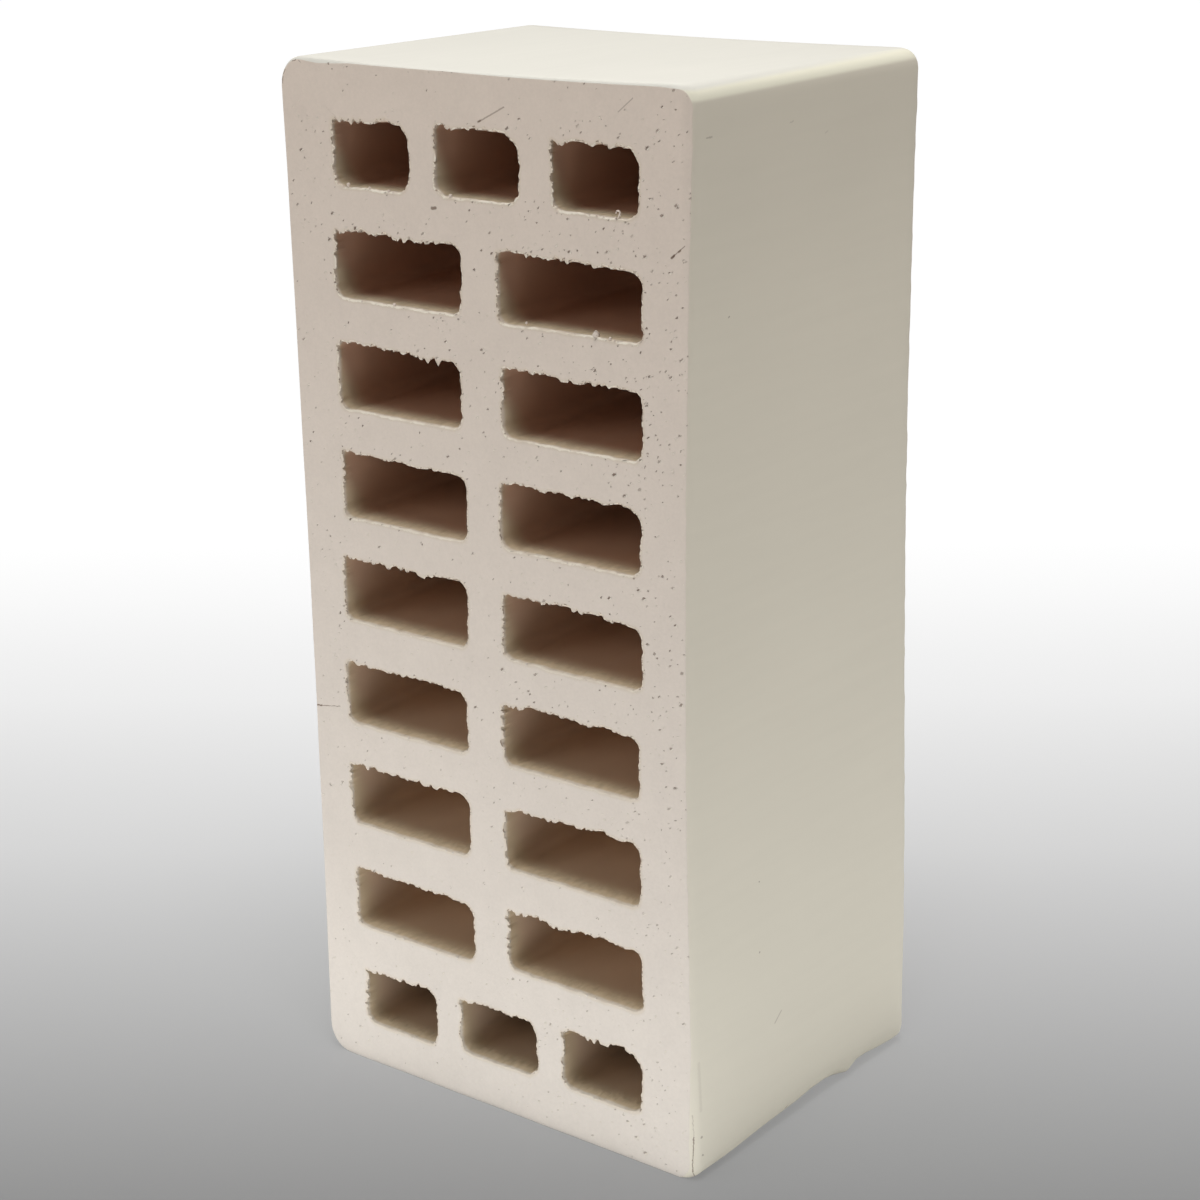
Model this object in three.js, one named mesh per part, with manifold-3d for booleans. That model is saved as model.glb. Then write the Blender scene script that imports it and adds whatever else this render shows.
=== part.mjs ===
// Hollow facing brick, one-and-a-half format, standing on its header (end) face.
//
// A real one starts as a column of stiff clay pushed through a die. The die gives the column its
// outline, with an arris rounded along each of its four long edges, and cores hung in the die's mouth
// leave the slots. A wire then cuts the column across into bricks, so the two perforated bed faces
// are plane, and the wire rolls over the edge that it leaves the clay by. Drying draws the two stretcher
// faces and the upper header face in a little, and the set of cores sits slightly askew.
//
// Millimetres. X runs across the bed face (the brick's width), Y along the slots (its thickness, from
// one bed face to the other) and Z along the brick's length. The origin is the middle of the header
// face that the brick stands on.

import * as THREE from "three";
import { mergeVertices } from "three/addons/utils/BufferGeometryUtils.js";
import Module from "manifold-3d";

// ---- Driving dimensions -------------------------------------------------------------------------

// The brick's format.
const length = 250;
const width = 120;
const thickness = 88;

// The arrises along the column.
const arrisRadius = 6.5;

// How far drying has drawn the right stretcher face, the upper header face and the left stretcher face
// in at their middle, at the front bed face and at the back one.
const frontDish = { right: 2.1, head: 0.9, left: 0.7 };
const backDish = { right: 1.6, head: 0.2, left: 0.7 };

// The edges that the wire leaves round a bed face: how deep they start, and how far in they reach on
// the plain sides and on the side where the wire comes out.
const cutEdgeDepth = 1.2;
const plainEdgeInset = 0.6;
const wireExitInset = 2.2;

// The slots: rows of two long ones between two end rows of three short ones. The slots of a row share
// the width that its side walls and webs leave, and the rows share the length between the end walls.
const longSlots = { perRow: 2, height: 15, sideWall: 14.05, web: 10.9 };
const shortSlots = { perRow: 3, height: 14.4, sideWall: 15, web: 8.4 };
const longRows = 7;
const endWall = 12.2;
const slotCornerRadius = 3;

// The set of cores sits this far to one side at the middle of the length, and leans this much more for
// each millimetre down from there.
const coreOffset = -1.9;
const coreLean = 0.0125;

// How finely curves are divided.
const arrisSteps = 8;
const dishSteps = 24;
const cutEdgeSteps = 4;
const slotCornerSteps = 5;

// How far a slot's cutter runs past each bed face.
const cutterOverrun = 5;

const clay = new THREE.MeshStandardMaterial({ color: 0xdccfc0, roughness: 0.92, metalness: 0 });

// ---- Outline of the column ----------------------------------------------------------------------

// Points from a to b, without b, along a shallow arc whose middle lies sagitta to the left of the chord.
function dishedSide(a, b, sagitta, steps) {
  const chord = new THREE.Vector2().subVectors(b, a);
  const inward = new THREE.Vector2(-chord.y, chord.x).normalize();
  return Array.from({ length: steps }, (_, i) => {
    const t = i / steps;
    return a.clone().addScaledVector(chord, t).addScaledVector(inward, 4 * sagitta * t * (1 - t));
  });
}

// Points of a quarter circle about (x, z) that starts at the given angle, without its last point.
function arris(x, z, radius, startAngle, steps) {
  return Array.from({ length: steps }, (_, i) => {
    const angle = startAngle + (i / steps) * (Math.PI / 2);
    return new THREE.Vector2(x + radius * Math.cos(angle), z + radius * Math.sin(angle));
  });
}

// The column's outline, anticlockwise from the foot of its right side, with its faces dished, its plain
// sides drawn in by one inset and its right side by another.
function outline(dish, plainInset, rightInset) {
  const left = -width / 2 + plainInset;
  const right = width / 2 - rightInset;
  const foot = plainInset;
  const head = length - plainInset;
  const r = arrisRadius;
  const corner = (x, z) => new THREE.Vector2(x, z);
  return [
    ...dishedSide(corner(right, foot + r), corner(right, head - r), dish.right, dishSteps),
    ...arris(right - r, head - r, r, 0, arrisSteps),
    ...dishedSide(corner(right - r, head), corner(left + r, head), dish.head, dishSteps),
    ...arris(left + r, head - r, r, Math.PI / 2, arrisSteps),
    ...dishedSide(corner(left, head - r), corner(left, foot + r), dish.left, dishSteps),
    ...arris(left + r, foot + r, r, Math.PI, arrisSteps),
    corner(left + r, foot),
    ...arris(right - r, foot + r, r, 1.5 * Math.PI, arrisSteps),
  ];
}

// ---- The column, cut off by the wire ---------------------------------------------------------------

// Outlines from the front bed face to the back one. Near each bed face the outline shrinks along a
// quarter of an ellipse, which rounds the cut edge.
function columnSections() {
  const roundedEdge = (bedFace, inward, dish) =>
    Array.from({ length: cutEdgeSteps + 1 }, (_, i) => {
      const angle = (i / cutEdgeSteps) * (Math.PI / 2);
      const share = 1 - Math.sin(angle);
      const y = bedFace + inward * cutEdgeDepth * (1 - Math.cos(angle));
      return { y, points: outline(dish, plainEdgeInset * share, wireExitInset * share) };
    });
  const front = roundedEdge(-thickness / 2, 1, frontDish);
  const back = roundedEdge(thickness / 2, -1, backDish);
  return [...front, ...back.reverse()];
}

// A closed skin through the sections, with a flat cap on the first and on the last.
function loftSections(sections) {
  const count = sections[0].points.length;
  const positions = sections.flatMap(({ y, points }) => points.flatMap((p) => [p.x, y, p.y]));
  const indices = [];
  for (let s = 0; s + 1 < sections.length; s++) {
    for (let i = 0; i < count; i++) {
      const a = s * count + i;
      const b = s * count + ((i + 1) % count);
      indices.push(a, a + count, b, b, a + count, b + count);
    }
  }
  const cap = THREE.ShapeUtils.triangulateShape(sections[0].points, []);
  const last = (sections.length - 1) * count;
  for (const [a, b, c] of cap) {
    indices.push(a, b, c);
    indices.push(last + a, last + c, last + b);
  }
  const skin = new THREE.BufferGeometry();
  skin.setAttribute("position", new THREE.Float32BufferAttribute(positions, 3));
  skin.setIndex(indices);
  return skin;
}

// ---- Slots ------------------------------------------------------------------------------------------

// A prism of one slot's section, centred on (x, z), that runs past both bed faces.
function slotCutter(slotWidth, slotHeight, x, z) {
  const w = slotWidth / 2;
  const h = slotHeight / 2;
  const r = slotCornerRadius;
  const section = new THREE.Shape();
  section.moveTo(x - w + r, z - h);
  section.lineTo(x + w - r, z - h);
  section.absarc(x + w - r, z - h + r, r, -Math.PI / 2, 0);
  section.lineTo(x + w, z + h - r);
  section.absarc(x + w - r, z + h - r, r, 0, Math.PI / 2);
  section.lineTo(x - w + r, z + h);
  section.absarc(x - w + r, z + h - r, r, Math.PI / 2, Math.PI);
  section.lineTo(x - w, z - h + r);
  section.absarc(x - w + r, z - h + r, r, Math.PI, 1.5 * Math.PI);
  const depth = thickness + 2 * cutterOverrun;
  const prism = new THREE.ExtrudeGeometry(section, {
    depth,
    bevelEnabled: false,
    curveSegments: slotCornerSteps,
  });
  prism.rotateX(Math.PI / 2);
  prism.translate(0, depth / 2, 0);
  return prism;
}

// One row of equal slots, spaced evenly about the middle of the set of cores at that height.
function slotRow({ perRow, height, sideWall, web }, z) {
  const slotWidth = (width - 2 * sideWall - (perRow - 1) * web) / perRow;
  const middle = coreOffset - coreLean * (length / 2 - z);
  return Array.from({ length: perRow }, (_, i) => {
    const x = middle + (i - (perRow - 1) / 2) * (slotWidth + web);
    return slotCutter(slotWidth, height, x, z);
  });
}

// Every slot's cutter: the rows of long slots, with a row of short slots beyond each end.
function allSlotCutters() {
  const first = endWall + shortSlots.height / 2;
  const last = length - first;
  const steps = longRows + 1;
  return Array.from({ length: steps + 1 }, (_, row) => {
    const z = first + ((last - first) * row) / steps;
    const isEndRow = row === 0 || row === steps;
    return slotRow(isEndRow ? shortSlots : longSlots, z);
  }).flat();
}

// ---- The brick ----------------------------------------------------------------------------------------

const wasm = await Module();
wasm.setup();

// A closed three.js geometry as a solid that can be cut.
function toSolid(geometry) {
  const bare = geometry.clone();
  bare.deleteAttribute("normal");
  bare.deleteAttribute("uv");
  const merged = mergeVertices(bare);
  return new wasm.Manifold(
    new wasm.Mesh({
      numProp: 3,
      vertProperties: new Float32Array(merged.attributes.position.array),
      triVerts: new Uint32Array(merged.index.array),
    }),
  );
}

// A solid back as a three.js geometry.
function toGeometry(solid) {
  const mesh = solid.getMesh();
  const geometry = new THREE.BufferGeometry();
  geometry.setAttribute("position", new THREE.BufferAttribute(mesh.vertProperties, 3));
  geometry.setIndex(new THREE.BufferAttribute(mesh.triVerts, 1));
  geometry.computeVertexNormals();
  return geometry;
}

let body = toSolid(loftSections(columnSections()));
for (const cutter of allSlotCutters()) {
  body = body.subtract(toSolid(cutter));
}

const brick = new THREE.Mesh(toGeometry(body), clay);
brick.name = "brick";

const model = new THREE.Group();
model.add(brick);

export default model;
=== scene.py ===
"""A hollow facing brick of fired clay, standing on its header face on a pale floor."""

import math

import bpy
import numpy as np
from mathutils import Matrix, Vector


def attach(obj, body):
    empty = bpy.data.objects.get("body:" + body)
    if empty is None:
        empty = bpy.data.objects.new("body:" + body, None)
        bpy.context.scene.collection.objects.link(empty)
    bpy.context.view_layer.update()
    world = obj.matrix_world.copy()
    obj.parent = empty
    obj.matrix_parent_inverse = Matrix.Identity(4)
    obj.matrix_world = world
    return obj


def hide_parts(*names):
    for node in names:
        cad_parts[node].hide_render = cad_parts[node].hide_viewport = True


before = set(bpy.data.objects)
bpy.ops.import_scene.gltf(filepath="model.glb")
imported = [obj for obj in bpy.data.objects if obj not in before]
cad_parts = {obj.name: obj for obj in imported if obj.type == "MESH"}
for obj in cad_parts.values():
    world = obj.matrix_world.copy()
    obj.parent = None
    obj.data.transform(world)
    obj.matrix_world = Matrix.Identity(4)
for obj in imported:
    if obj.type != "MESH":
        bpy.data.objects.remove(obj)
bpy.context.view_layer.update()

# ---- The brick -----------------------------------------------------------------------------------
# One piece of fired clay. A die gave a column of stiff clay its slots, and a wire cut it across: it tore
# the slots' mouths, left crumbs on the cut faces and rolled over the edge that it came out by. Drying
# drew the sides in, and firing set the brick slightly askew.

MM = 0.001
width, thickness, length = 120.0, 88.0, 250.0  # the format, in millimetres along X, Y and Z

# A cut face lies this far inside the format, which leaves room for its crumbs and rims.
face_depth = 0.35

# The two kinds of row: how many slots each has, their size and pitch, and the radii of a slot's lower
# left, lower right, upper left and upper right corners.
end_row = {"count": 3, "size": (24.4, 14.4), "pitch": 32.8, "radii": (3.0, 3.6, 1.2, 4.2)}
long_row = {"count": 2, "size": (40.5, 15.0), "pitch": 51.4, "radii": (2.4, 3.0, 1.4, 3.2)}

# The rows from the foot up: their kinds, and the height of each one's middle.
row_kinds = [end_row] + 7 * [long_row] + [end_row]
row_pitch = 26.4
row_heights = 19.4 + row_pitch * np.arange(len(row_kinds))

# How far the wire left each mouth's sides outside its slot on the front face, row by row from the foot:
# left, right, lower, upper at its left end and upper at its right end.
mouths = [
    [(-2.5, 1.9, -0.1, 0.2, 1.1), (-1.8, 2.1, 0.0, -0.3, 0.8), (-1.8, 1.5, 1.0, -0.8, 0.3)],
    [(-1.2, -0.1, 0.5, 0.0, -0.6), (-0.2, 0.8, -0.2, 0.3, 0.7)],
    [(-0.6, -0.6, -0.2, 0.7, 0.8), (0.2, 0.0, -0.5, 0.1, 1.7)],
    [(-0.6, -0.8, -0.2, 0.5, 0.4), (0.3, -0.2, -0.3, 0.4, 0.3)],
    [(-0.9, 0.2, -0.2, 0.9, 0.7), (-0.4, 0.7, -0.1, 0.8, -0.2)],
    [(-1.8, 0.8, 0.6, 0.5, -0.4), (-0.1, -0.1, 0.0, 0.3, 0.2)],
    [(-1.9, -0.4, 0.7, 0.2, -0.6), (-1.2, 0.3, 0.6, 0.2, -0.5)],
    [(-1.8, 0.3, 0.9, -0.3, -0.6), (-0.4, 0.2, 1.2, -0.4, -1.5)],
    [(-1.7, 0.4, 1.9, -1.6, -1.2), (-0.2, 0.0, 1.6, -0.1, -1.7), (-0.8, 0.2, 1.8, -1.4, -2.0)],
]

# Burrs that hang from a mouth's upper edge on the front face: place along X and Z, half width, length.
burrs = [
    (-13.6, 185.5, 1.1, 1.5),
    (-17.0, 186.0, 1.0, 0.6),
    (-44.3, 239.8, 1.1, 0.8),
    (36.3, 237.0, 2.6, 0.8),
    (13.4, 212.3, 0.5, 0.9),
    (24.9, 211.0, 0.7, 0.9),
    (-38.0, 238.7, 0.8, 0.7),
]

# Each slot has a cell of the cut face round it. The cells fill a rectangle, and this many points lie
# along its short side and along one row's height.
cells_left, cells_right = -53.9, 50.1
points_across, points_per_row = 84, 20

# How finely each cut face is divided: how many points stand for one of the border's along a mouth's
# lower, right, upper and left edges, shares of the way from a mouth to its cell's border, angles over
# its rim, depths down its wall, and angles over the brick's own edge. The front is the finer one.
fineness = {
    -1: {
        "times": (3, 2, 4, 3),
        "shares": (1, 0.4, 0.12, 0.03),
        "rim": np.linspace(0, math.pi / 2, 4),
        "depths": (0.5, 1.5, 4.0, 12.0),
        "edge": (0.6, 0.66, 0.86, 1.1, 1.33, math.pi / 2),
    },
    1: {
        "times": (1, 1, 1, 1),
        "shares": (1, 0.3),
        "rim": np.linspace(0, math.pi / 2, 2),
        "depths": (1.0, 6.0),
        "edge": (0.6, 0.75, 1.15, math.pi / 2),
    },
}


def lattice_noise(points, size, seed=0):
    """Smooth noise from -1 to 1. Each corner of a cubic lattice has a hashed value, and a point mixes the
    eight round it, weighted along each axis by 3t^2 - 2t^3 of its place t in the cell."""
    place = np.asarray(points) / size
    cell = np.floor(place).astype(np.int64)
    t = place - cell
    t = t * t * (3 - 2 * t)
    total = np.zeros(place.shape[:-1])
    for corner in np.ndindex(2, 2, 2):
        key = ((cell + corner) * (73856093, 19349663, 83492791)).sum(-1) + 6271 * seed
        key = (key ^ (key >> 13)) * 1274126177
        key = (key ^ (key >> 16)) & 0xFFFF
        total += (key / 32767.5 - 1) * np.where(corner, t, 1 - t).prod(-1)
    return total


def ramp(value, low, high):
    """0 below low, 1 above high, and 3t^2 - 2t^3 between them."""
    t = np.clip((value - low) / (high - low), 0, 1)
    return t * t * (3 - 2 * t)


def rectangle(low, high, counts):
    """Points round a rectangle, anticlockwise from its lower left corner: each side in equal steps."""
    (x0, z0), (x1, z1) = low, high
    corners = np.array([(x0, z0), (x1, z0), (x1, z1), (x0, z1), (x0, z0)], float)
    sides = zip(corners, corners[1:], counts)
    return np.concatenate([a + (b - a) * (np.arange(n) / n)[:, None] for a, b, n in sides])


def rounded_rectangle(low, high, radii, counts):
    """The same points with the corners rounded, and the outward direction at each. A point less than a
    corner's radius from both of its sides slides onto the arc, along the line to the arc's centre. The
    radii are those of the lower left, lower right, upper left and upper right corners."""
    low, high = np.array(low, float), np.array(high, float)
    sharp = rectangle(low, high, counts)
    beyond = sharp > (low + high) / 2
    r = np.array(radii, float)[beyond[:, 0] + 2 * beyond[:, 1]][:, None]
    core = np.clip(sharp, low + r, high - r)
    out = sharp - core
    out /= np.linalg.norm(out, axis=1, keepdims=True)
    return core + r * out, out


def in_space(flat, y):
    """Points of a bed face's plane, (x, z), put at the depth y."""
    return np.stack([flat[:, 0], np.broadcast_to(y, len(flat)), flat[:, 1]], axis=1)


def face_height(flat, side):
    """Where the cut face lies over each point: the plane, and a wave of a tenth of a millimetre."""
    plane = side * (thickness / 2 - face_depth)
    return plane + 0.1 * lattice_noise(in_space(flat, plane), 16, 1)


def slot_box(row, place):
    """The lower left and upper right corners of a slot. The set of slots sits to the left of the middle,
    leans by an eightieth along the length, and tilts by a twentieth in the rows near the foot."""
    kind = row_kinds[row]
    z = row_heights[row]
    middle = -1.9 - 0.0125 * (length / 2 - z)
    offset = (place - (kind["count"] - 1) / 2) * kind["pitch"]
    centre = np.array([middle + offset, z + 0.05 * ramp(-z, -75, -5) * offset])
    half = np.array(kind["size"]) / 2
    return centre - half, centre + half


def torn(edge, out, low, high, side):
    """How far the wire tore a mouth's edge away, in millimetres, and the radius that it left there.
    The tear is waves + (notches + teeth + nicks) rough + horn - burrs. All four kinds are noise, from
    coarse to fine, and the teeth are the steps where theirs changes sign. Rough varies slowly about 1,
    grows by half on upper edges near the head and falls by 70% at an upper right corner. The horn is the
    upper left corner, pulled out. A burr hangs into the slot as a triangle. The tear is kept between -0.3
    and 0.4 mm at a corner, and between -2.8 and 1.9 from 4 mm off. The rim is roundest below."""
    p = in_space(edge, side * thickness / 2)
    up, down = np.clip(out[:, 1], 0, 1), np.clip(-out[:, 1], 0, 1)
    left, right = np.clip(-out[:, 0], 0, 1), np.clip(out[:, 0], 0, 1)
    across = (edge[:, 0] - low[0]) / (high[0] - low[0])
    height = (edge[:, 1] - low[1]) / (high[1] - low[1])

    def reach(all_round, on_top, on_left, on_right):
        """How far a kind of tear reaches: all round the mouth, and so much further on three edges."""
        return all_round + on_top * up + on_left * left + on_right * right

    waves = lattice_noise(p, 5.5, 2) * reach(0.12, 0.4, 0.15, 0.15)
    notches = lattice_noise(p, 1.9, 3) * reach(0.1, 0.35, 0.25, 0.2)
    teeth = (ramp(lattice_noise(p, 1.0, 4), -0.16, 0.16) - 0.5) * reach(0.1, 0.38, 0.5, 0.14)
    nicks = lattice_noise(p, 0.6, 5) * reach(0.05, 0.14, 0.2, 0.08)
    rough = 1 + 0.6 * lattice_noise(p, 27, 8) + 0.5 * ramp(height * edge[:, 1], 200, 240)
    rough *= 1 - 0.7 * ramp(across, 0.72, 0.95) * ramp(height, 0.5, 0.9)
    horn = 0.2 * ramp(height, 0.8, 1) * ramp(-across, -0.06, 0)
    tear = waves + (notches + teeth + nicks) * rough + horn
    if side < 0:
        for x, z, half_width, hang in burrs:
            near = np.clip(1 - np.abs(edge[:, 0] - x) / half_width, 0, 1)
            tear -= hang * near * (np.abs(edge[:, 1] - z) < 5) * up
    from_corner = np.minimum(edge - low, high - edge).max(axis=1)
    free = ramp(from_corner, 1.0, 4.0)
    tear = np.clip(tear, -0.3 - 2.5 * free, 0.4 + 1.5 * free)
    radius = 0.1 + (0.22 + 0.15 * lattice_noise(p, 1.6, 10)) * down + 0.1 * right
    return tear, radius


def parents(counts, times):
    """For a ring with so many times the steps along each of its four sides: which point of the plain ring
    each of its points hangs on, the nearest along the side, and whether it stands just there."""
    starts = np.cumsum((0,) + counts)
    spread = [start + np.arange(n * m) / m for start, n, m in zip(starts, counts, times)]
    along = np.concatenate(spread)
    return np.floor(along + 0.5).astype(int) % starts[-1], np.abs(along - np.round(along)) < 1e-6


def ring_faces(first, second, parent, turned):
    """Faces between two closed rings whose points start at the given numbers. Each point of the second
    one hangs on its parent in the first: a step between two points with one parent makes a triangle, any
    other step a quad. They are wound one way or the other. Gives the quads and the triangles."""
    here = np.arange(len(parent))
    there = np.roll(here, -1)
    quads = np.stack([first + parent, first + parent[there], second + there, second + here], axis=1)
    if turned:
        quads = quads[:, ::-1]
    alone = parent == parent[there]
    corners = [0, 1, 3] if turned else [1, 2, 3]
    return quads[~alone], quads[alone][:, corners]


def mouth_rings(row, place, side):
    """Rings from a cell's border to a slot's mouth and down its wall. A mouth on the front has its own
    sides and a tilted upper edge, and every edge waves by 0.12 mm. The brink lies outside that edge by
    the tear and the rim's radius. At a share s of the way to the border, a ring lies at edge +
    outward (brink + 5 s) (1 - s)^2 + (border - edge) ramp(s), so the rings leave the mouth straight
    outward, and the outer ones follow the brink evened over nine points. The rim is a quarter circle,
    and down the wall the tear dies away as exp(-depth / 0.6 mm). Rings far from the mouth keep only the
    points that stand just where the border has one. Gives the rings, each with its marks: how much it is
    cut face, how deep it lies, how close to the torn edge, and how high in the slot."""
    steps = fineness[side]
    kind = row_kinds[row]
    low, high = slot_box(row, place)
    tilt = 0.0
    if side < 0:
        left, right, lower, upper_left, upper_right = mouths[row][place]
        low, high = low - (left, lower), high + (right, (upper_left + upper_right) / 2)
        tilt = upper_right - upper_left
    cell = (cells_right - cells_left) / kind["count"]
    cell_low = (cells_left + place * cell, row_heights[row] - row_pitch / 2)
    cell_high = (cells_left + (place + 1) * cell, row_heights[row] + row_pitch / 2)
    plain_counts = (points_across // kind["count"], points_per_row) * 2
    counts = [n * times for n, times in zip(plain_counts, steps["times"])]
    border = rectangle(cell_low, cell_high, counts)
    edge, out = rounded_rectangle(low, high, kind["radii"], counts)
    edge[:, 1] += tilt * ((edge[:, 0] - low[0]) / (high[0] - low[0]) - 0.5) * np.clip(out[:, 1], 0, 1)
    edge += out * 0.12 * lattice_noise(in_space(edge, 0), 2.5, 7)[:, None]
    tear, radius = torn(edge, out, low, high, side)
    height = np.clip((edge[:, 1] - low[1]) / (high[1] - low[1]), 0, 1)
    brink = tear + radius
    even = sum(np.roll(brink, shift) for shift in range(-4, 5)) / 9
    top = face_height(edge + out * brink[:, None], side)
    coarse = parents(plain_counts, steps["times"])[1]
    everywhere = np.ones(len(edge), bool)
    rings = []

    def ring(flat, y, kept, cut, depth, torn_off):
        """Adds a ring at the depth y, of its kept points. All its marks but height are even round it."""
        marks = np.stack([np.full(len(edge), v) for v in (cut, depth, torn_off)] + [height], axis=1)
        rings.append((in_space(flat, y)[kept], marks[kept]))

    for share in steps["shares"]:
        outward = brink + (even - brink) * ramp(share, 0, 0.2)
        outward = (outward + 5 * share) * (1 - share) ** 2
        flat = edge + out * outward[:, None] + (border - edge) * ramp(share, 0, 1)
        kept = coarse if share > 0.2 else everywhere
        ring(flat, face_height(flat, side), kept, 1, 0, 1 - min(1, 2.5 * share))
    for angle in steps["rim"]:
        flat = edge + out * (tear + radius * (1 - math.sin(angle)))[:, None]
        ring(flat, top - side * radius * (1 - math.cos(angle)), everywhere, 1, 0, 1)
    for depth in steps["depths"]:
        flat = edge + out * (tear * math.exp(-depth / 0.6))[:, None]
        kept = coarse if depth > 2 else everywhere
        y = top - side * (radius + depth)
        ring(flat, y, kept, math.exp(-depth), depth, math.exp(-2 * depth))
    return rings


def slot_surface(row, place):
    """One slot with its two cells, as rings from the front cell's border to the back one's."""
    return mouth_rings(row, place, -1) + mouth_rings(row, place, 1)[::-1]


# The right foot is worn to these radii, at places along Y, and the head's front edge sags by these
# depths, at places along X.
worn_places = (-30, -15, -3, 9, 15, 19, 24, 29, 37)
worn_radii = (4.4, 6.0, 6.6, 8.4, 7.0, 4.2, 6.8, 6.6, 4.6)
sag_places = (-56, -52, -48, -43, -38, -10, 8, 28, 50, 56)
sag_depths = (0.4, 0.9, 1.2, 0.9, 0.5, 0.3, 0.5, 0.6, 0.7, 1.1)

# The sides between the cut edges have a ring at each of these places along Y.
side_places = (-39, -34, -28, -22, -16, -9, -2, 5, 11, 15, 19, 24, 29, 34, 39)


def shell_surface():
    """The rest of the skin, as rings from the front cells' rectangle out to the edge, along the sides and
    back in."""
    counts = (points_across, len(row_kinds) * points_per_row) * 2
    foot, head = row_heights[0] - row_pitch / 2, row_heights[-1] + row_pitch / 2
    inner = rectangle((cells_left, foot), (cells_right, head), counts)

    def outline(share, y):
        """The brick's outline at the depth y, drawn in by that share of the cut edge's inset. Each corner
        has its own radius, and the right foot's is the worn one. The inset is 0.4 mm on the left and 0.1
        below. On the right it is 0.9, as the wire left there, and 1.5 more near the foot, varied by
        noise. At the head it is the sag."""
        low, high = (-width / 2 + 0.4 * share, 0.1 * share), (width / 2, length)
        worn = np.interp(y, worn_places, worn_radii)
        flat = rounded_rectangle(low, high, (6.5, worn, 7.0, 4.2), counts)[0]
        chips = lattice_noise(in_space(flat, 0), 3.0, 9)
        lip = 0.9 + 1.5 * ramp(-flat[:, 1], -40, -8) + 0.2 * chips
        flat[:, 0] -= lip * share * ramp(flat[:, 0], width / 2 - 7, width / 2 - 1)
        sag = np.interp(flat[:, 0], sag_places, sag_depths)
        flat[:, 1] -= sag * share * ramp(flat[:, 1], length - 9, length - 2)
        return flat

    def ring(flat, y, cut):
        """A ring at the depth y that is so much cut face, and has no other mark."""
        marks = np.zeros((len(flat), 4))
        marks[:, 0] = cut
        return in_space(flat, y), marks

    def bed_side(side):
        """Rings over a cut face, at shares of the way from the cells to the brink, and then over the cut
        edge. There the inset shrinks as 1 - sin and the depth grows as 1 - cos of an angle that starts
        at a third of a right angle, so the brink stays sharp. It ends 0.7 mm deep, and 2 on the right."""
        plane = side * thickness / 2
        brink = outline(1, plane)
        turn_depth = 0.7 + 1.3 * ramp(brink[:, 0], width / 2 - 7, width / 2 - 3)
        rings = []
        for share in (0, 0.5, 0.88, 0.98):
            flat = inner + (brink - inner) * share
            rings.append(ring(flat, face_height(flat, side), 1))
        first = fineness[side]["edge"][0]
        for angle in fineness[side]["edge"]:
            share = (1 - math.sin(angle)) / (1 - math.sin(first))
            turned = (math.cos(first) - math.cos(angle)) / math.cos(first)
            y = face_height(brink, side) - side * turn_depth * turned
            rings.append(ring(outline(share, plane), y, max(0, 1 - 25 * turned)))
        return rings

    return bed_side(-1) + [ring(outline(0, y), y, 0) for y in side_places] + bed_side(1)[::-1]


# How far drying and firing moved each corner of this brick from the die's true shape, along X, Y and Z.
# The corners are in order along X, then Y, then Z: left first, then front first, then foot first.
corner_draw = np.array(
    [
        [[(2.2, -0.2, 0), (2.2, 2.2, 0)], [(0, 0, 0), (0.6, 0, -1.0)]],
        [[(-2.2, -0.2, 0), (0, 0.46, 0)], [(0, 0.2, 0), (-0.13, -0.1, -1.26)]],
    ]
)


def fired(points):
    """Points of the true shape moved to where drying and firing left them. The eight corners' moves are
    blended, each weighted by the shares s or 1 - s of the way to it along the three axes. Then each side
    is drawn in by its bow times 4 t (1 - t), with t the share along it, which fades out within 14 mm of
    its skin. The right side's bow is 2.4 mm at the front and 1.65 at the back, and less at the back's
    foot."""
    share = points / (width, thickness, length) + (0.5, 0.5, 0)
    weights = np.stack([1 - share, share], axis=-1)
    moves = np.einsum("ni,nj,nk,ijkd->nd", weights[:, 0], weights[:, 1], weights[:, 2], corner_draw)
    x, z = points[:, 0], points[:, 2]
    along_z = 4 * share[:, 2] * (1 - share[:, 2])
    along_x = 4 * share[:, 0] * (1 - share[:, 0])
    back = share[:, 1]
    bow = 2.4 * (1 - back) + 1.65 * back * ramp(share[:, 2], -0.1, 0.7)
    moves[:, 0] -= bow * along_z * ramp(x, width / 2 - 14, width / 2)
    moves[:, 0] += 0.9 * along_z * ramp(-x, width / 2 - 14, width / 2)
    moves[:, 2] -= (0.9 - 0.3 * back) * along_x * ramp(z, length - 14, length)
    return points + moves


def strand(path, radii):
    """A closed strand of clay. Six points stand round each point of the path, at its radius in the plane
    across it, and noise roughens them by a third. Gives them with their quads and the two end caps."""
    path, radii = np.asarray(path, float), np.asarray(radii, float)
    along = np.gradient(path, axis=0)
    along /= np.linalg.norm(along, axis=1, keepdims=True)
    aside = np.cross(along, (0.36, 0.48, 0.8))
    aside /= np.linalg.norm(aside, axis=1, keepdims=True)
    turn = np.arange(6)[:, None] * math.pi / 3
    round_it = aside[:, None] * np.cos(turn) + np.cross(along, aside)[:, None] * np.sin(turn)
    points = path[:, None] + round_it * radii[:, None, None]
    points += round_it * radii[:, None, None] * 0.35 * lattice_noise(points, 0.6, 10)[..., None]
    last = 6 * (len(path) - 1)
    caps = [[5, 4, 3, 2, 1, 0], list(range(last, last + 6))]
    quads = [ring_faces(start, start + 6, np.arange(6), False)[0] for start in range(0, last, 6)]
    return points.reshape(-1, 3), np.concatenate(quads).tolist() + caps


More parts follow.
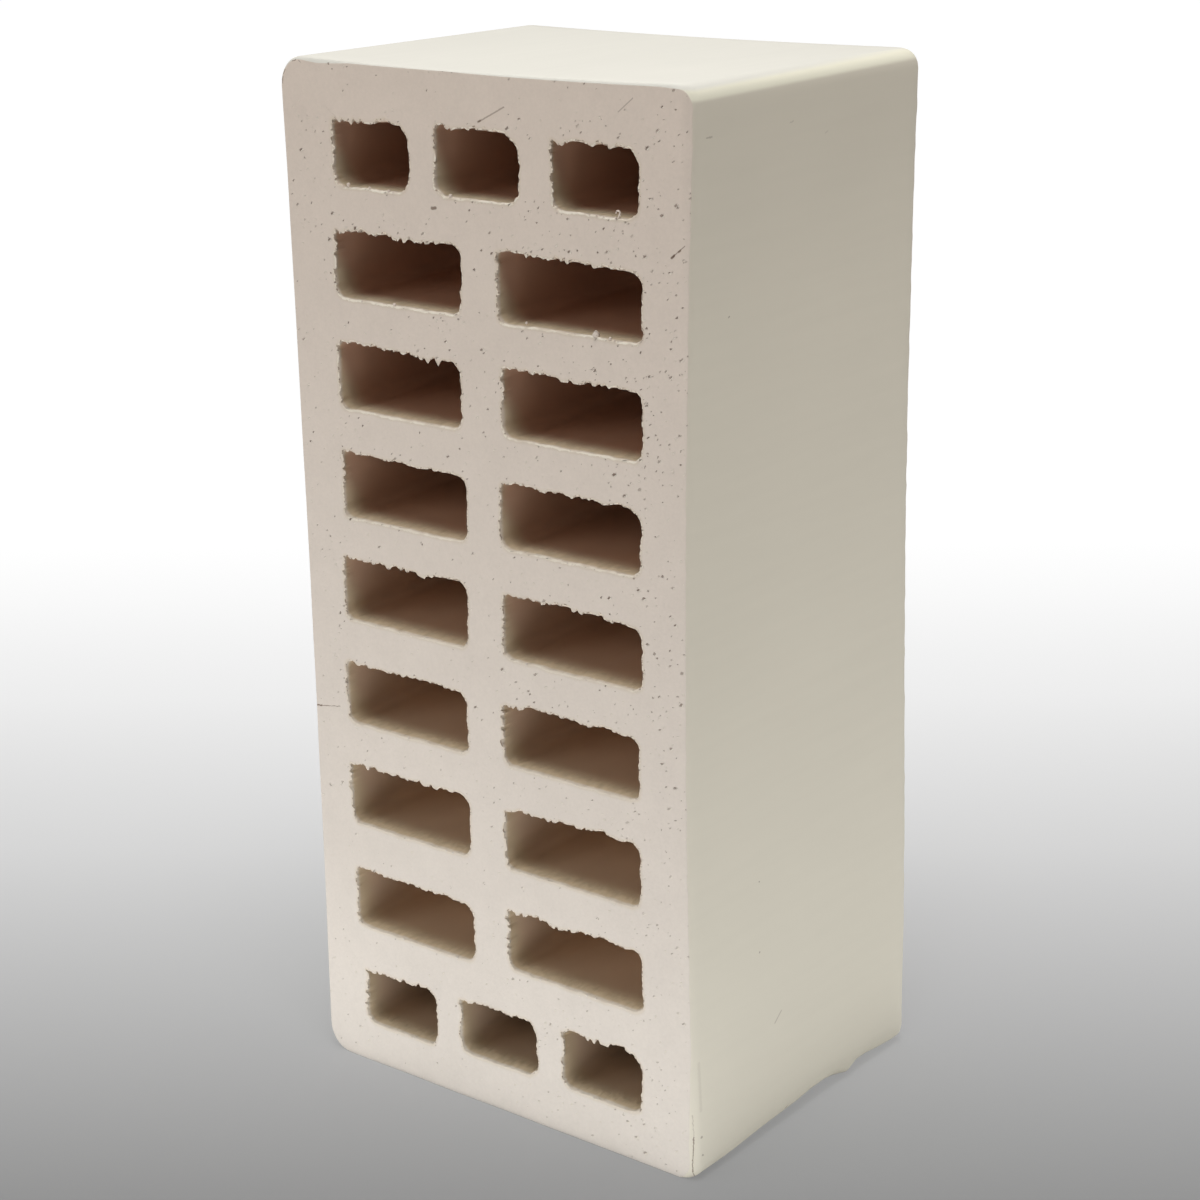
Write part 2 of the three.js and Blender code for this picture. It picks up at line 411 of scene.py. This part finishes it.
def crumb(centre, size, axis):
    """A crumb of clay: a strand along an axis. At a place a along it, from -0.9 to 0.9 of the size, the
    radius is the root of 1.05 - a^2, like a ball's."""
    along = np.array([-0.9, -0.4, 0.4, 0.9])
    axis = np.asarray(axis) / np.linalg.norm(axis)
    return strand(np.asarray(centre) + size * along[:, None] * axis, size * np.sqrt(1.05 - along**2))


# The crumbs that lie at places of their own on the mouths' lower edges: along X and Z, and their size.
placed_crumbs = [
    (32.5, 196.0, 0.8),
    (-39.7, 222.0, 0.45),
    (-27.1, 221.5, 0.4),
    (-8.3, 222.1, 0.45),
    (-26.7, 196.0, 0.4),
    (13.0, 196.4, 0.3),
    (36.5, 195.7, 0.35),
    (-33.0, 221.8, 0.35),
]


def loose_clay():
    """The crumbs on the mouths' lower edges, some placed and four more scattered on each, and one curl
    that the wire raised: an arc of 4.4 radians, about half a millimetre in radius, with a thinner tip."""
    y = -(thickness / 2 - face_depth)
    lumps = [crumb((x, y + 0.4 * size, z), size, (1, 0.1, 0.4)) for x, z, size in placed_crumbs]
    random = np.random.default_rng(5)
    for row, kind in enumerate(row_kinds):
        for place in range(kind["count"]):
            low, high = slot_box(row, place)
            for _ in range(4):
                x = low[0] + (high[0] - low[0]) * random.uniform(0.1, 0.9)
                size = 0.14 + 0.22 * random.random() ** 2
                axis = random.normal(size=3)
                z = low[1] - mouths[row][place][2] - 0.2
                lumps.append(crumb((x, y + 0.4 * size, z), size, axis))
    turn = np.linspace(-1.0, 3.4, 12)
    arc = (39.1 + 0.42 * np.cos(turn), y + 0.2 - 0.08 * turn, 222.5 + 0.5 * np.sin(turn))
    curl = np.concatenate([[(39.0, y + 0.3, 221.4)], np.stack(arc, axis=1)])
    lumps.append(strand(curl, np.linspace(0.24, 0.17, 13)))
    return lumps


def brick_surface():
    """Every slot's surface and the shell, welded where their points coincide to a micrometre, and the
    loose clay. Gives the points, their marks and the faces."""
    parts = [(shell_surface(), None, True)]
    for row, kind in enumerate(row_kinds):
        counts = (points_across // kind["count"], points_per_row) * 2
        parent = parents(counts, fineness[-1]["times"])[0]
        parts += [(slot_surface(row, place), parent, False) for place in range(kind["count"])]
    points, marks, quads, triangles, end = [], [], [], [], 0
    for rings, parent, turned in parts:
        starts = end + np.cumsum([0] + [len(flat) for flat, _ in rings])
        for first, second, third in zip(starts, starts[1:], starts[2:]):
            here, there = second - first, third - second
            spread = np.arange(here) if here == there else parent
            if here > there:
                faces = ring_faces(second, first, spread, not turned)
            else:
                faces = ring_faces(first, second, spread, turned)
            quads.append(faces[0])
            triangles.append(faces[1])
        points += [flat for flat, _ in rings]
        marks += [mark for _, mark in rings]
        end = starts[-1]
    points, marks = np.concatenate(points), np.concatenate(marks)
    _, kept, welded = np.unique(np.round(points, 3), axis=0, return_index=True, return_inverse=True)
    points, marks, welded = points[kept], marks[kept], welded.reshape(-1)
    faces = welded[np.concatenate(quads)].tolist() + welded[np.concatenate(triangles)].tolist()
    for lump, lump_faces in loose_clay():
        faces += [[len(points) + corner for corner in face] for face in lump_faces]
        points = np.concatenate([points, lump])
        marks = np.concatenate([marks, np.tile((1.0, -1.0, 0.5, 0.0), (len(lump), 1))])
    return points, marks, faces


points, marks, faces = brick_surface()
mesh = bpy.data.meshes.new("brick_clay")
mesh.from_pydata(fired(points) * MM, [], faces)
for name, values in zip(("cut", "depth", "torn", "rise"), marks.T):
    mesh.attributes.new(name, "FLOAT", "POINT").data.foreach_set("value", np.ascontiguousarray(values))
mesh.shade_smooth()
brick = bpy.data.objects.new("brick_clay", mesh)
bpy.context.scene.collection.objects.link(brick)


def shade_of(value):
    """A grey as a colour socket wants it: the value three times, and full alpha."""
    return (value, value, value, 1)


class Wire:
    """A socket to reckon with. Each operator adds the Math node of its name, for this wire and another
    wire or a number, and node() adds a node of any other kind."""

    def __init__(self, socket):
        self.socket = socket

    def node(self, kind, settings=None, out=0, **inputs):
        """Adds a node to this socket's tree: its settings first, then its inputs, named with _ for a
        space or as n0, n1 by number, each a value or a wire. Gives the wire of its output."""
        tree = self.socket.id_data
        made = tree.nodes.new("ShaderNode" + kind)
        for name, value in (settings or {}).items():
            setattr(made, name, value)
        for name, value in inputs.items():
            numbered = name[0] == "n" and name[1:].isdigit()
            target = made.inputs[int(name[1:]) if numbered else name.replace("_", " ")]
            if isinstance(value, Wire):
                tree.links.new(value.socket, target)
            else:
                target.default_value = value
        return Wire(made.outputs[out])

    def math(self, operation, *operands, clamp=False):
        """The Math node's result for its operands. This wire counts only if it is one of them."""
        settings = {"operation": operation, "use_clamp": clamp}
        return self.node("Math", settings, **{f"n{i}": value for i, value in enumerate(operands)})

    def __add__(self, other):
        return self.math("ADD", self, other)

    def __sub__(self, other):
        return self.math("SUBTRACT", self, other)

    def __mul__(self, other):
        return self.math("MULTIPLY", self, other)

    def __truediv__(self, other):
        return self.math("DIVIDE", self, other)

    def __radd__(self, other):
        return self.math("ADD", other, self)

    def __rsub__(self, other):
        return self.math("SUBTRACT", other, self)

    def __rmul__(self, other):
        return self.math("MULTIPLY", other, self)

    def over(self, other):
        """The larger of this and another."""
        return self.math("MAXIMUM", self, other)

    def clamped(self):
        """This, kept between 0 and 1."""
        return self.math("ADD", self, 0.0, clamp=True)

    def output(self, out):
        """Another output of the node that this one comes from."""
        return Wire(self.socket.node.outputs[out])

    def step(self, low, high):
        """0 below low, 1 above high (or the other way round), and 3t^2 - 2t^3 between them."""
        settings = {"interpolation_type": "SMOOTHSTEP"}
        if isinstance(low, (int, float)) and isinstance(high, (int, float)) and low > high:
            return 1 - self.step(high, low)
        return self.node("MapRange", settings, Value=self, From_Min=low, From_Max=high)

    def mix(self, low, high):
        """The colour low where this is 0, and high where it is 1. A number stands for a grey."""
        low, high = (shade_of(c) if isinstance(c, (int, float)) else c for c in (low, high))
        return self.node("Mix", {"data_type": "RGBA"}, out=2, n0=self, n6=low, n7=high)

    def vector(self, operation, other, out=0):
        """The Vector Math node's result for this vector and another. Output 1 is a number."""
        return self.node("VectorMath", {"operation": operation}, out=out, n0=self, n1=other)

    def scaled(self, factor):
        """This vector or colour times a number."""
        return self.node("VectorMath", {"operation": "SCALE"}, n0=self, Scale=factor)

    def noise(self, size, detail=2.0, roughness=0.5):
        """Fractal noise about 0.5, whose largest lumps have the given size in this vector's units."""
        return self.node("TexNoise", Vector=self, Scale=1 / size, Detail=detail, Roughness=roughness)


def pits(flat, cell, density, widest):
    """Holes scattered over the cut face, each near the middle of one cell of a plane pattern. A random
    number c says which cells have one, by the share s = (c - 1 + density) / density, and how wide it is,
    0.35 + 0.65 s of the widest. Another says how deep. The depth is full to 0.4 of the radius and 0 from
    the whole radius out."""
    pattern = flat.node("TexVoronoi", {"voronoi_dimensions": "2D"}, Vector=flat, Scale=1 / cell)
    chance = flat.node("SeparateColor", Color=pattern.output(1))
    share = (chance - 1 + density) / density
    radius = share.step(0, 0.02) * (0.35 + 0.65 * share) * (widest / cell)
    return (pattern / radius.over(0.001)).step(1, 0.4) * (0.35 + 0.65 * chance.output(1))


def stroke(spot, start, end, half_width):
    """A scratch from start to end. With p the place from the start, d the way to the end and t the share
    p.d / d.d, kept between 0 and 1, the distance |p - t d| gives 1 near the line and 0 past the half
    width."""
    start, along = Vector(start), Vector(end) - Vector(start)
    p = spot.vector("SUBTRACT", start)
    t = p.vector("DOT_PRODUCT", along / along.length_squared, out=1).clamped()
    foot = p.node("VectorMath", {"operation": "SCALE"}, n0=along, Scale=t)
    distance = p.vector("DISTANCE", foot, out=1)
    return distance.step(half_width, 0.4 * half_width)


# Scratches and cracks, as ends in millimetres, half width and strength: on the front face along X and
# Z, and on the right side along Y and Z. Each is painted dark as the shade in its hollow, and the first
# one on the side is painted shade beside the lip at the right foot.
front_strokes = [
    ((1.6, 0, 238.7), (9.0, 0, 242.3), 0.24, 0.55),
    ((1.4, 0, 238.6), (2.2, 0, 239.0), 0.34, 0.5),
    ((39.8, 0, 243.3), (43.7, 0, 246.4), 0.18, 0.45),
    ((53.2, 0, 214.6), (56.5, 0, 217.3), 0.16, 0.7),
    ((53.1, 0, 214.5), (53.8, 0, 215.1), 0.36, 0.9),
    ((54.9, 0, 215.9), (55.4, 0, 216.3), 0.3, 0.7),
    ((-12.7, 0, 218.9), (-11.6, 0, 219.1), 0.5, 0.85),
    ((-42.5, 0, 248.6), (-42.2, 0, 248.6), 0.32, 1.0),
    ((-53.6, 0, 248.6), (-52.6, 0, 248.9), 0.2, 0.9),
    ((-51.6, 0, 248.9), (-51.0, 0, 248.4), 0.16, 0.8),
    ((-56.9, 0, 244.9), (-57.1, 0, 243.5), 0.22, 1.0),
    ((-56.0, 0, 246.6), (-56.6, 0, 245.6), 0.16, 0.9),
    ((-56.3, 0, 93.1), (-48.7, 0, 94.4), 0.14, 0.7),
    ((-57.5, 0, 93.0), (-55.0, 0, 93.3), 0.3, 0.8),
    ((56.2, 0, 17.2), (56.4, 0, 11.4), 0.12, 0.3),
    ((56.4, 0, 11.4), (56.0, 0, 0.6), 0.16, 0.75),
]
side_strokes = [
    ((0, -42.0, 30.0), (0, -41.7, 18.0), 0.6, 0.1),
    ((0, -41.9, 11.2), (0, -41.6, 11.1), 0.3, 0.5),
    ((0, -41.7, 6.6), (0, -41.4, 6.5), 0.3, 0.5),
    ((0, -12.6, 28.1), (0, -9.9, 30.3), 0.25, 0.35),
    ((0, -7.5, 3.0), (0, -7.1, 3.1), 0.45, 0.7),
    ((0, -30.1, 200.4), (0, -29.9, 200.5), 0.25, 0.6),
    ((0, -18.1, 66.3), (0, -18.0, 66.3), 0.3, 0.6),
    ((0, -18.2, 48.6), (0, -18.1, 48.7), 0.3, 0.6),
    ((0, -39.5, 239.0), (0, -37.6, 238.9), 0.2, 0.4),
    ((0, -9.2, 238.4), (0, -8.0, 238.6), 0.2, 0.25),
    ((0, 4.6, 234.5), (0, 5.6, 234.9), 0.2, 0.2),
]

# Its colours: the die's smooth skin and the cut face, each at the foot and at the head, where they are
# darker and warmer as painted shade; the upper header face, paler partly as painted light, and its right
# arris, a painted highlight; a slot's wall at the mouth, and further in near the foot and near the head,
# all darkened as painted shade in the slots; the painted shade in holes, notches and cracks; and the pale
# grains that the wire pulled out, which also serve as painted highlights on torn edges.
skin_foot, skin_head = (0.735, 0.70, 0.595, 1), (0.70, 0.635, 0.52, 1)
cut_foot, cut_head = (0.682, 0.636, 0.578, 1), (0.705, 0.597, 0.505, 1)
header, arris_highlight = (0.745, 0.72, 0.645, 1), (0.88, 0.84, 0.68, 1)
wall_mouth = (0.58, 0.475, 0.325, 1)
wall_foot, wall_head = (0.58, 0.44, 0.325, 1), (0.55, 0.35, 0.245, 1)
hole_shade = (0.20, 0.14, 0.10, 1)
pale_grain_and_highlight = (0.88, 0.82, 0.70, 1)

clay = bpy.data.materials.new("fired clay")
clay.use_nodes = True
skin = clay.node_tree.nodes["Principled BSDF"]
skin.inputs["Roughness"].default_value = 0.9

# The place on the brick in millimetres, and the surface's four marks.
base = Wire(skin.inputs["Base Color"])
spot = base.node("TexCoord", out=3).scaled(1 / MM)
x, y, z = (spot.node("SeparateXYZ", out=axis, Vector=spot) for axis in range(3))
is_cut, how_deep, is_torn, rise = (
    base.node("Attribute", {"attribute_name": name}, out=2) for name in ("cut", "depth", "torn", "rise")
)

# Noises of the clay: soft mottling, grain, streaks along the die's draw, large blotches, and the ribs
# that the die left on the slots' walls.
mottle = spot.noise(9, 3, 0.6) - 0.5
grain = spot.noise(0.7, 1) - 0.5
streaks = spot.vector("MULTIPLY", (1, 0.06, 1)).noise(2.5, 1) - 0.5
blotches = spot.noise(45, 1) - 0.5
ribs = spot.vector("MULTIPLY", (1, 0.4, 1)).noise(1.3, 1) - 0.5

# The wire's drag runs up to the right at 35 degrees, and the holes are twice as long as wide along it.
# A finer noise breaks their rims, and they crowd together on the right, towards the head.
flat = spot.node("CombineXYZ", n0=x - 3.1 * y, n1=z + 1.7 * y, n2=0.0)
dragged = flat.node("VectorRotate", {"rotation_type": "Z_AXIS"}, Vector=flat, Angle=math.radians(-35))
broken = flat.node("TexNoise", {"noise_dimensions": "2D"}, out=1, Vector=flat, Scale=2.2, Detail=1.0)
dragged = dragged.vector("ADD", broken.vector("MULTIPLY", (0.7, 0.5, 0))).vector("MULTIPLY", (0.5, 1, 1))
crowd = x.step(-10, 50) * (0.4 + 0.6 * z.step(40, 150)) * (mottle + 0.5).step(0.42, 0.6)
crowd = (crowd + 0.4 * is_torn * z.step(40, 150)).clamped()
big_holes = pits(dragged, 2.2, 0.02 + 0.42 * crowd, 0.36)
small_holes = pits(dragged, 1.1, 0.05 + 0.3 * crowd, 0.22)
holes = big_holes.over(small_holes) * is_cut * (0.55 + 0.45 * z.step(30, 150))

# A pale grain stands just to the right of each big hole, and others stand alone.
raised = pits(dragged.vector("ADD", (-0.1, 0.28, 0)), 2.2, 0.02 + 0.42 * crowd, 0.36)
grains = raised.over(pits(dragged.vector("ADD", (7.3, 4.1, 0)), 1.2, 0.12, 0.24)) * is_cut
grains = grains * (1 - holes).clamped()

# A torn edge is painted dark in its notches as shade, and pale on its teeth and all along its lower lip,
# partly fresh clay and partly painted highlight.
fleck = spot.noise(0.7, 1, 0.4)
patch = spot.noise(4, 1)
notch_shade = is_torn.step(0.86, 0.97) * fleck.step(0.56, 0.62) * rise.step(0.02, 0.1)
tips = 0.8 * is_torn.step(0.84, 0.94) * fleck.step(0.53, 0.45) * patch.step(0.35, 0.55)
lip = is_torn.step(0.95, 1) * rise.step(0.03, 0.005) * (0.3 + 0.7 * patch.step(0.35, 0.5))
fresh_clay_and_highlight = tips.over(lip) * (0.25 + 0.75 * z.step(60, 210))

# The scratches and cracks, painted dark as shade, with the grain breaking their edges.
shift = spot.node("CombineXYZ", n0=0.5 * grain, n1=0.5 * grain, n2=0.5 * grain)
rough_spot = spot.vector("ADD", shift)
front_spot = rough_spot.vector("MULTIPLY", (1, 0, 1))
side_spot = rough_spot.vector("MULTIPLY", (0, 1, 1))
on_front, on_side = y.step(-40, -42.5), x.step(52, 55)
stroke_shade = 0.0
for start, end, half_width, strength in front_strokes:
    stroke_shade = strength * stroke(front_spot, start, end, half_width) * on_front + stroke_shade
for start, end, half_width, strength in side_strokes:
    stroke_shade = strength * stroke(side_spot, start, end, half_width) * on_side + stroke_shade

# The colour of each surface: the skin, with painted shade towards the head, the header over it, with a
# painted highlight on its right arris, the cut face, and the slots' walls, painted darker as shade: first
# at the mouth and then, from a few millimetres in, darker still, soonest high in a slot and near the
# head.
headward_shade = z.step(-60, 310)
# The head's right arris, on the side just under its top, gets a painted highlight.
top = z.step(248.2, 249.2).over(x.step(57.5, 55)).mix(arris_highlight, header)
colour = z.step(246.1, 247.1).mix(headward_shade.mix(skin_foot, skin_head), top)
colour = is_cut.mix(colour, headward_shade.mix(cut_foot, cut_head))
colour = (0.35 * is_torn.step(0.6, 1)).over(how_deep.step(0, 1.2)).mix(colour, wall_mouth)
# The walls grow darker inward as painted shade, soonest high in a slot and near the head.
painted_shade_depth = how_deep + 3 * mottle + (2 + 4 * z.step(0, 230)) * rise.step(0.05, 0.8)
inner_wall = z.step(60, 200).mix(wall_foot, wall_head)
colour = (painted_shade_depth.step(2.5, 9) * how_deep.step(0.2, 1.5)).mix(colour, inner_wall)

# Its tone, about 1: the noises; the paler left foot and the darker right side and edge at the head,
# which are painted light and painted shade; the walls near the mouths, with their ribs, painted darker
# as shade in the upper rows; the walls of the bottom row, painted darker as shade; and the walls further
# in, painted lighter or darker row by row as the light that reaches them.
near_mouth = how_deep.step(0, 0.4) * how_deep.step(7, 3)
rough_wall = near_mouth * rise.step(0.15, 0.03)
tone = 1 + 0.10 * mottle * is_cut + 0.08 * grain * is_cut + 0.05 * blotches + 0.03 * streaks
tone = tone + 0.07 * x.step(-20, -55) * z.step(60, 10) - 0.06 * z.step(190, 240) * x.step(55, 58)
tone = tone + 0.35 * ribs * rough_wall - 0.16 * z.step(140, 230) * near_mouth
tone = tone - 0.09 * z.step(34, 28) * how_deep.step(0.5, 4)
# Deep walls are painted darker in the bottom row and lighter in the rows above it and near the head, as
# light and shade.
inner_light_and_shade = (0.48 * z.step(27, 38) - 0.2) * z.step(170, 80) + 0.15 * z.step(150, 195)
tone = tone + inner_light_and_shade * y.step(-34, -16) * how_deep.step(0.2, 1.5)
colour = colour.scaled(tone)

# On top of it, pale grains and fresh clay with painted highlights, then the painted shade of notches,
# holes, scratches and cracks, all in the one colour of painted shade.
colour = (0.6 * grains).over(0.8 * fresh_clay_and_highlight).mix(colour, pale_grain_and_highlight)
colour = (0.8 * notch_shade).mix(colour, hole_shade)
colour = (0.95 * holes).clamped().mix(colour, hole_shade)
colour = stroke_shade.clamped().mix(colour, hole_shade)
clay.node_tree.links.new(colour.socket, skin.inputs["Base Color"])

# The relief that is finer than the mesh, in millimetres.
height = (0.01 + 0.035 * is_cut) * grain + 0.05 * mottle * is_cut - 0.25 * holes + 0.15 * grains
height = height + 0.6 * ribs * rough_wall
bump = height.node("Bump", Height=height, Distance=MM, Strength=1.0)
clay.node_tree.links.new(bump.socket, skin.inputs["Normal"])
mesh.materials.append(clay)

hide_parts("brick")
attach(brick, "root")

# ---- The floor -----------------------------------------------------------------------------------
# A plain sheet of pale paper, wide enough to fill the view. It looks white in the distance and greyer
# close by. On the brick it throws back the studio's light, and near the brick it glows as well, which is
# painted light, most of it from in front.

half_side = 30.0
corners = [(half_side * x, half_side * y, 0) for x, y in ((-1, -1), (1, -1), (1, 1), (-1, 1))]
floor_mesh = bpy.data.meshes.new("floor")
floor_mesh.from_pydata(corners, [], [(0, 1, 2, 3)])
floor = bpy.data.objects.new("floor", floor_mesh)
bpy.context.scene.collection.objects.link(floor)
paper = bpy.data.materials.new("pale paper")
paper.use_nodes = True
paper.cycles.emission_sampling = "NONE"
sheet = paper.node_tree.nodes["Principled BSDF"]
sheet.inputs["Roughness"].default_value = 0.9
sheet.inputs["Emission Strength"].default_value = 1.0

# The floor's greys, at distances in metres along the view, and the range that they lie in.
base = Wire(sheet.inputs["Base Color"])
spot = base.node("TexCoord", out=3)
x, y = (base.node("SeparateXYZ", out=axis, Vector=spot) for axis in range(2))
away = -0.575 * x + 0.818 * y
stops = [(-0.08, 0.28), (0.02, 0.487), (0.12, 0.687), (0.25, 0.87), (0.36, 0.95), (0.45, 1.0)]
nearest, farthest = -0.1, 0.6
grey = base.node("ValToRGB", Fac=base.node("MapRange", Value=away, From_Min=nearest, From_Max=farthest))
elements = grey.socket.node.color_ramp.elements
for spare in range(len(stops) - 2):
    elements.new(0.5)
for element, (where, shade) in zip(elements, stops):
    element.position = (where - nearest) / (farthest - nearest)
    element.color = shade_of(shade)

# To the camera, and in a gloss, it shows that grey, mostly as its own glow, painted light that keeps the
# brick's shadow faint. To other light it is pale paper, which glows within 0.4 m of the brick, beside it
# and before it, and most in front of its face: painted light on the brick. The glow fades in over 45 mm
# beside the sides, a gap in the painted light that shades their feet.
seen = base.node("LightPath", out=0)
seen = seen.over(base.node("LightPath", out=3)).over(base.node("LightPath", out=4))
far = away.step(0.1, 0.45)
near = base.node("VectorMath", {"operation": "LENGTH"}, out=1, n0=spot).step(0.40, 0.24)
beside = (x.math("ABSOLUTE", x) - 0.060) / 0.045
before = (y.math("ABSOLUTE", y) - 0.0435) / 0.003
near = near * beside.over(before).step(0, 1)
shown = seen.mix(0.85, 0.34 * grey * (1 - far))
paper.node_tree.links.new(shown.socket, sheet.inputs["Base Color"])
facing = y.step(-0.04, -0.10) * x.step(0.16, 0.06)
glow = seen.mix((0.66 + 0.5 * facing) * near, grey * (0.7 + 0.3 * far))
paper.node_tree.links.new(glow.socket, sheet.inputs["Emission Color"])
floor_mesh.materials.append(paper)

# ---- The light -----------------------------------------------------------------------------------
# A white room that gives little light itself, and four soft lamps: two overhead, the smaller one to the
# front, which lights into the slots, and one at each side of the brick.

world = bpy.data.worlds.new("white room")
world.use_nodes = True
background = world.node_tree.nodes["Background"]
background.inputs["Color"].default_value = (1, 1, 1, 1)
seen = Wire(background.inputs["Strength"]).node("LightPath", out=0)
world.node_tree.links.new((0.13 + 0.87 * seen).socket, background.inputs["Strength"])
bpy.context.scene.world = world


def soft_lamp(name, size, power, place, target):
    """A square area lamp of the given side and power, turned to shine at a target."""
    data = bpy.data.lights.new(name, "AREA")
    data.size, data.energy = size, power
    lamp = bpy.data.objects.new(name, data)
    bpy.context.scene.collection.objects.link(lamp)
    lamp.location = place
    aim = Vector(place) - Vector(target)
    lamp.rotation_euler = aim.to_track_quat("Z", "Y").to_euler()
    lamp.visible_camera = False


soft_lamp("overhead", 0.8, 4.7, (0.0, -0.05, 0.95), (0, 0, 0))
soft_lamp("window", 0.25, 2.0, (0.2, -0.2, 0.95), (0, 0, 0.1))
soft_lamp("left", 0.6, 2.05, (-0.6, -0.87, 0.3), (0, 0, 0.08))
soft_lamp("right", 0.6, 1.1, (0.85, 0.31, 0.3), (0, 0, 0.08))

bpy.context.scene.view_settings.view_transform = "Standard"

# ---- The camera ----------------------------------------------------------------------------------
# It stands off the brick's right front edge, a little above it and looking down at it, and leans by
# about a degree.

lens = bpy.data.cameras.new("camera")
lens.sensor_width, lens.lens = 36, 76.636
camera = bpy.data.objects.new("camera", lens)
bpy.context.scene.collection.objects.link(camera)
azimuth, elevation, lean = math.radians(38.092), math.radians(18.348), math.radians(-1.278)
camera.matrix_world = (
    Matrix.Translation((0.360526, -0.461695, 0.313172))
    @ Matrix.Rotation(azimuth, 4, "Z")
    @ Matrix.Rotation(math.pi / 2 - elevation, 4, "X")
    @ Matrix.Rotation(lean, 4, "Z")
)
bpy.context.scene.camera = camera
